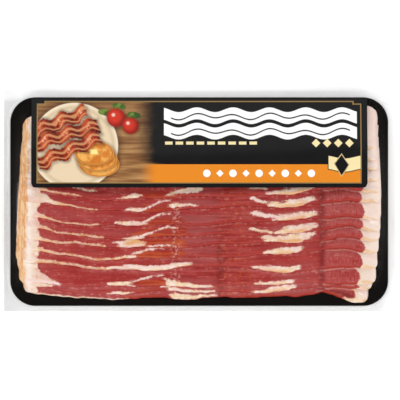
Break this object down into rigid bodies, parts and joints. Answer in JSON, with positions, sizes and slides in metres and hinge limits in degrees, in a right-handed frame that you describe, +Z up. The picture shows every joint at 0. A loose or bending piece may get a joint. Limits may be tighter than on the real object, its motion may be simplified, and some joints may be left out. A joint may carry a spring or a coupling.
{
  "type": "bacon pack",
  "caption": "Flat vacuum pack of shingled bacon slices on a black board, with a printed card over the upper slices, sealed in clear film.",
  "frame": {"origin": "centre of the pouch's underside", "axes": "+X along the slices, to the right as the label is seen, +Y up the pack from the lowest slice to the card, +Z up out of the surface that the pack lies on"},
  "size_m": [0.28, 0.158, 0.0213],
  "materials": {
    "clear_film": "clear, thin and glossy, drawn tight over the slices",
    "black_board": "coated black, smooth",
    "bacon": "moist raw bacon: red lean, cream fat, orange smoked edges",
    "printed_card": "coated black card with plain printed shapes in orange, cream, white and gold"
  },
  "bodies": {
    "root": {"film_pouch": "clear_film", "backing_board": "black_board", "slice_01": "bacon", "slice_02": "bacon", "slice_03": "bacon", "slice_04": "bacon", "slice_05": "bacon", "slice_06": "bacon", "slice_07": "bacon", "slice_08": "bacon", "slice_09": "bacon", "slice_10": "bacon", "slice_11": "bacon", "slice_12": "bacon", "slice_13": "bacon", "slice_14": "bacon", "printed_card": "printed_card"}
  },
  "joints": []
}
